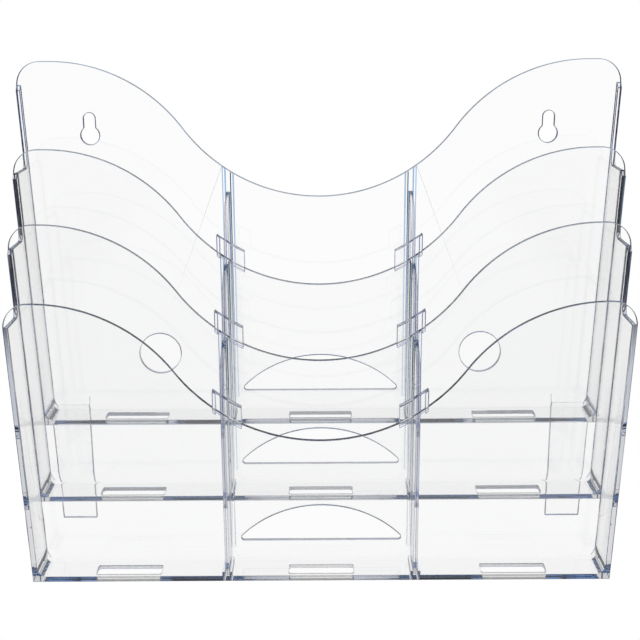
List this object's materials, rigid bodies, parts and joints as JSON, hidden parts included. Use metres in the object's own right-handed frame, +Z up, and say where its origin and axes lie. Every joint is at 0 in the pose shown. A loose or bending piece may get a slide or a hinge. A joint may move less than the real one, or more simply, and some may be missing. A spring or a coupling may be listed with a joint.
{
  "type": "magazine rack",
  "caption": "Clear plastic stepped magazine rack with bell-shaped panel tops, lift-out dividers, finger openings and keyholes for wall mounting.",
  "frame": {"origin": "centre of the footprint, on the plane that the rack stands on", "axes": "+Z up, front faces -Y, +X to the right when seen from the front"},
  "size_m": [0.3556, 0.0888, 0.2921],
  "materials": {
    "clear_body": "polished clear polystyrene",
    "clear_divider": "polished clear polystyrene"
  },
  "bodies": {
    "rack": {"front_panel": "clear_body", "middle_panel": "clear_body", "rear_panel": "clear_body", "back_panel": "clear_body", "front_floor": "clear_body", "middle_floor": "clear_body", "rear_floor": "clear_body", "front_wall_left": "clear_body", "front_wall_right": "clear_body", "middle_wall_left": "clear_body", "middle_wall_right": "clear_body", "rear_wall_left": "clear_body", "rear_wall_right": "clear_body"},
    "front_divider_left": {"front_divider_left": "clear_divider"},
    "front_divider_right": {"front_divider_right": "clear_divider"},
    "middle_divider_left": {"middle_divider_left": "clear_divider"},
    "middle_divider_right": {"middle_divider_right": "clear_divider"},
    "rear_divider_left": {"rear_divider_left": "clear_divider"},
    "rear_divider_right": {"rear_divider_right": "clear_divider"}
  },
  "joints": [
    {"name": "front_divider_left_lift", "type": "slide", "parent": "rack", "child": "front_divider_left", "axis": [0, 0, 1], "range_m": [0, 0.145]},
    {"name": "front_divider_right_lift", "type": "slide", "parent": "rack", "child": "front_divider_right", "axis": [0, 0, 1], "range_m": [0, 0.145]},
    {"name": "middle_divider_left_lift", "type": "slide", "parent": "rack", "child": "middle_divider_left", "axis": [0, 0, 1], "range_m": [0, 0.145]},
    {"name": "middle_divider_right_lift", "type": "slide", "parent": "rack", "child": "middle_divider_right", "axis": [0, 0, 1], "range_m": [0, 0.145]},
    {"name": "rear_divider_left_lift", "type": "slide", "parent": "rack", "child": "rear_divider_left", "axis": [0, 0, 1], "range_m": [0, 0.155]},
    {"name": "rear_divider_right_lift", "type": "slide", "parent": "rack", "child": "rear_divider_right", "axis": [0, 0, 1], "range_m": [0, 0.155]}
  ]
}
